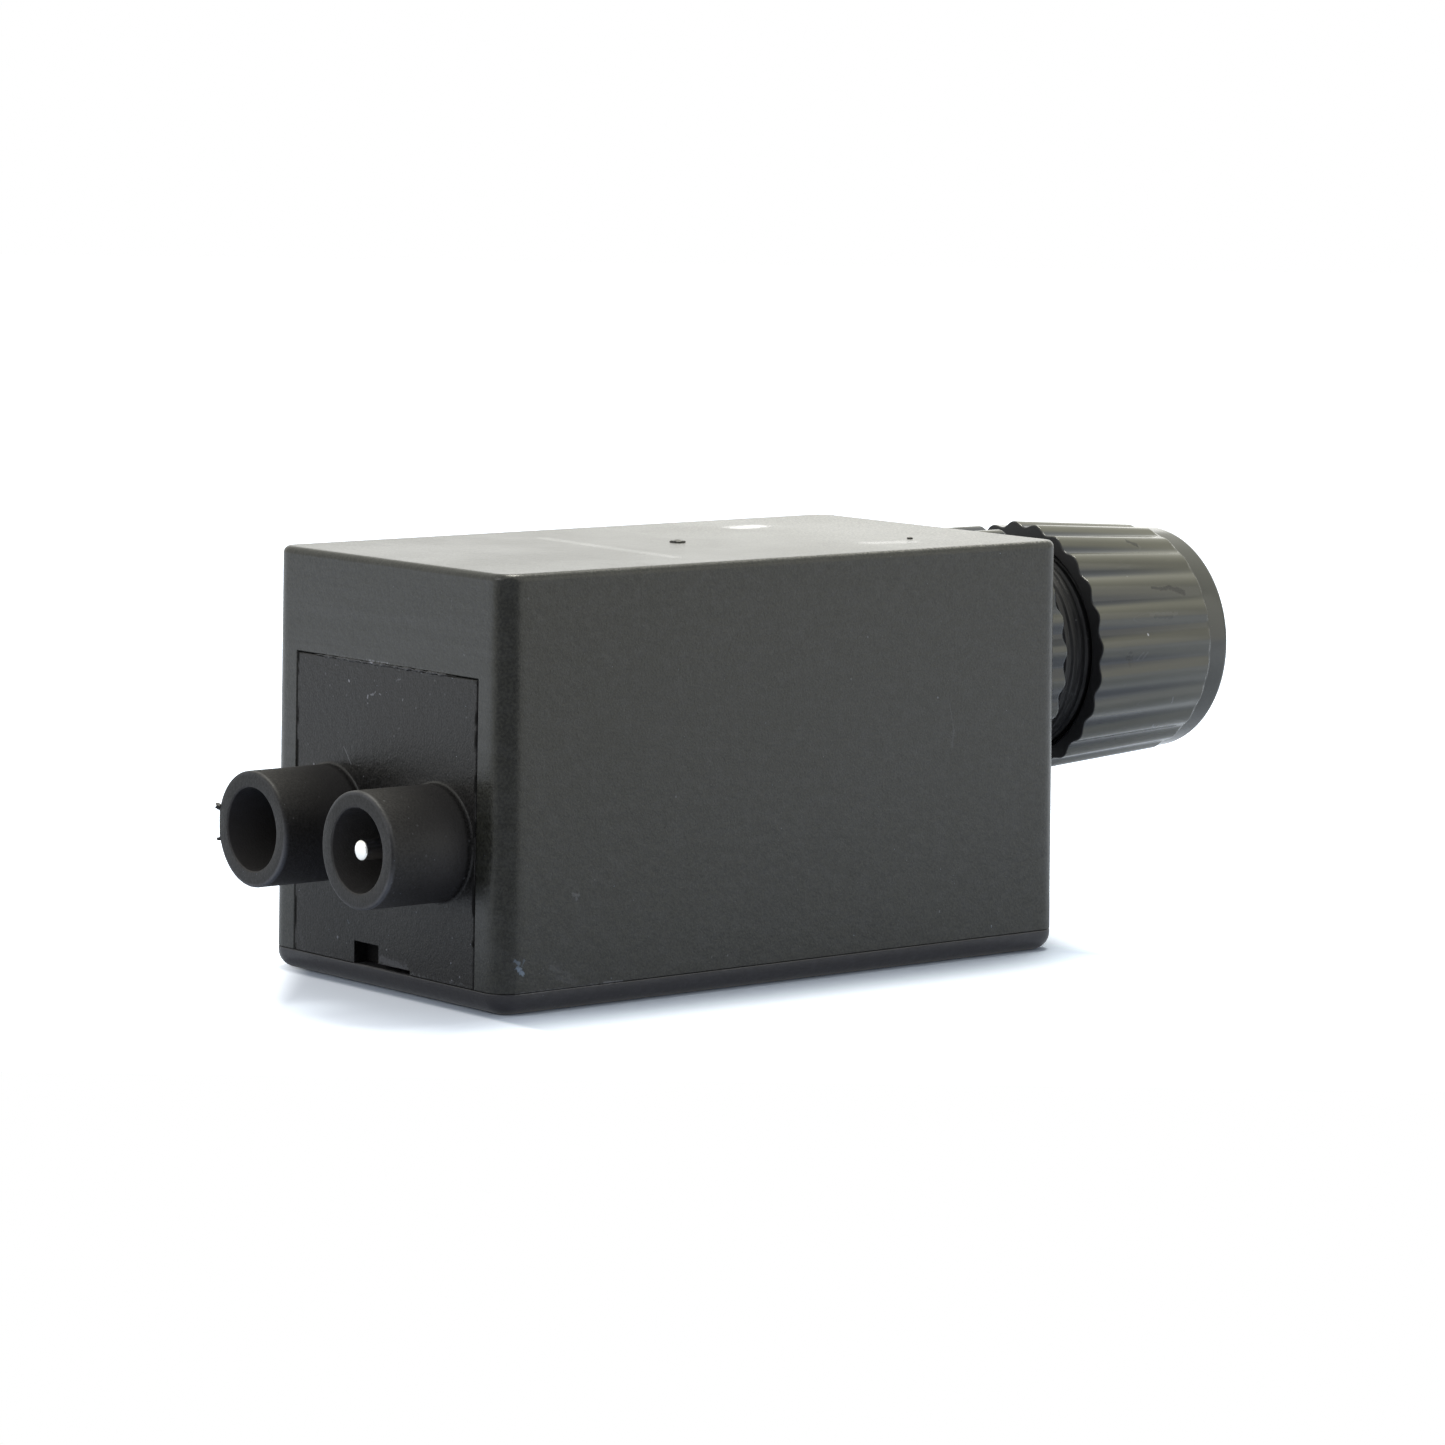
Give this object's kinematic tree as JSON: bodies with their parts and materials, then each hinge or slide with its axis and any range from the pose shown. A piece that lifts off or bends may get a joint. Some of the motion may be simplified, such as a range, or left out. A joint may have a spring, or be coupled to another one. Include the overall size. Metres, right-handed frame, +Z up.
{
  "type": "spark ignition unit",
  "caption": "Black moulded spark ignition unit: box case with base plate, front panel with a pin socket and an empty socket tube, and a fluted cable gland on the back.",
  "frame": {"origin": "centre of the base plate's underside", "axes": "+X towards the cable gland, the socket tubes face -X, +Z up"},
  "size_m": [0.1648, 0.056, 0.062],
  "materials": {
    "case_plastic": "satin",
    "panel_plastic": "satin",
    "gland_plastic": "satin",
    "pin_metal": "polished",
    "spring_steel": "satin",
    "insert_brass": "satin",
    "seal_rubber": "matte",
    "board_laminate": "satin",
    "block_plastic": "satin",
    "core_ferrite": "matte",
    "former_plastic": "satin",
    "winding_copper": "gloss",
    "storage_case": "gloss",
    "suppression_case": "gloss",
    "resistor_ceramic": "matte",
    "part_epoxy": "matte",
    "lead_insulation": "satin"
  },
  "bodies": {
    "case": {"housing": "case_plastic", "base_plate": "case_plastic", "socket_panel": "panel_plastic", "high_voltage_pin": "pin_metal", "pin_retainer": "spring_steel", "mount_inserts": "insert_brass", "gland_body": "gland_plastic", "collar_seal": "seal_rubber", "lock_nut": "gland_plastic", "cable_seal": "seal_rubber", "circuit_board": "board_laminate", "board_screws": "spring_steel", "terminal_block": "block_plastic", "terminal_clamps": "insert_brass", "terminal_screws": "spring_steel", "core_halves": "core_ferrite", "core_clip": "spring_steel", "coil_former": "former_plastic", "primary_winding": "winding_copper", "secondary_winding": "winding_copper", "storage_capacitor": "storage_case", "suppression_capacitor": "suppression_case", "charge_resistor": "resistor_ceramic", "rectifier_diodes": "part_epoxy", "trigger_thyristor": "part_epoxy", "high_voltage_lead": "lead_insulation", "primary_leads": "lead_insulation"},
    "ring": {"pressure_ring": "gland_plastic"},
    "nut": {"gland_nut": "gland_plastic"}
  },
  "joints": [
    {"name": "ring_slide", "type": "slide", "parent": "case", "child": "ring", "axis": [1, 0, 0], "range_m": [-0.0053, 0.0151]},
    {"name": "nut_turn", "type": "hinge", "parent": "ring", "child": "nut", "pos_m": [0.069, 0, 0.0425], "axis": [1, 0, 0], "range_deg": [-1260, 3600]}
  ],
  "couplings": [
    {"joint": "ring_slide", "follows": "nut_turn", "m_per_rad": 0.00023873}
  ]
}
